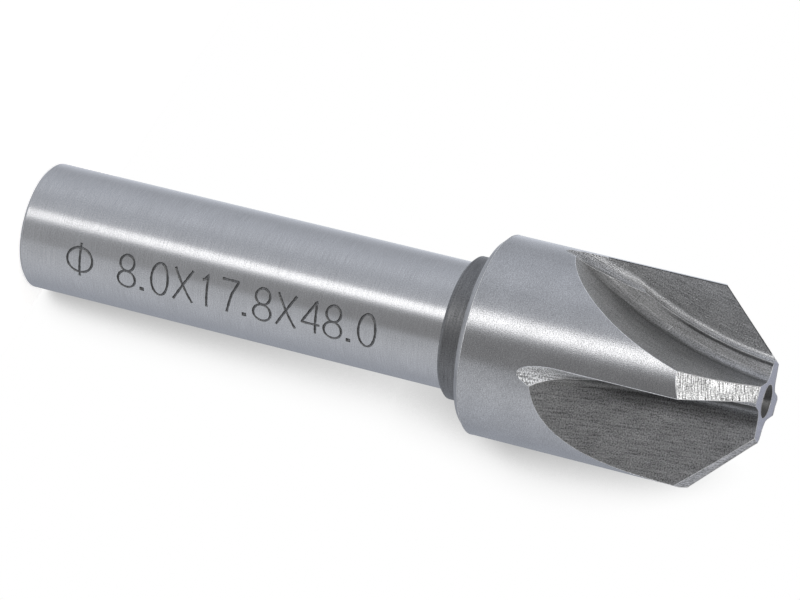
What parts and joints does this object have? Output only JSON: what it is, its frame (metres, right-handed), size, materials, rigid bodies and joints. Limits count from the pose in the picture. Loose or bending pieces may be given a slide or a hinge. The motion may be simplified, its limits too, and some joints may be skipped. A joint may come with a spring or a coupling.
{
  "type": "countersink bit",
  "caption": "Straight-shank countersink bit: a plain round shank and dark collar carry a wider ground head, whose milled flutes leave relieved cutting teeth on a conical nose.",
  "frame": {"origin": "centre of the flat shank end, on the tool's axis, where the tool stands when it is set upright", "axes": "+Z along the tool's axis from the shank end to the nose; +X and +Y each run along the rake face of a tooth, and the tooth at +X cuts towards +Y, the right-hand turn about +Z"},
  "size_m": [0.0126, 0.0124, 0.048],
  "materials": {
    "ground_steel": "cylindrically ground, with a darker turned collar and milled flutes"
  },
  "bodies": {
    "root": {"countersink": "ground_steel"}
  },
  "joints": []
}
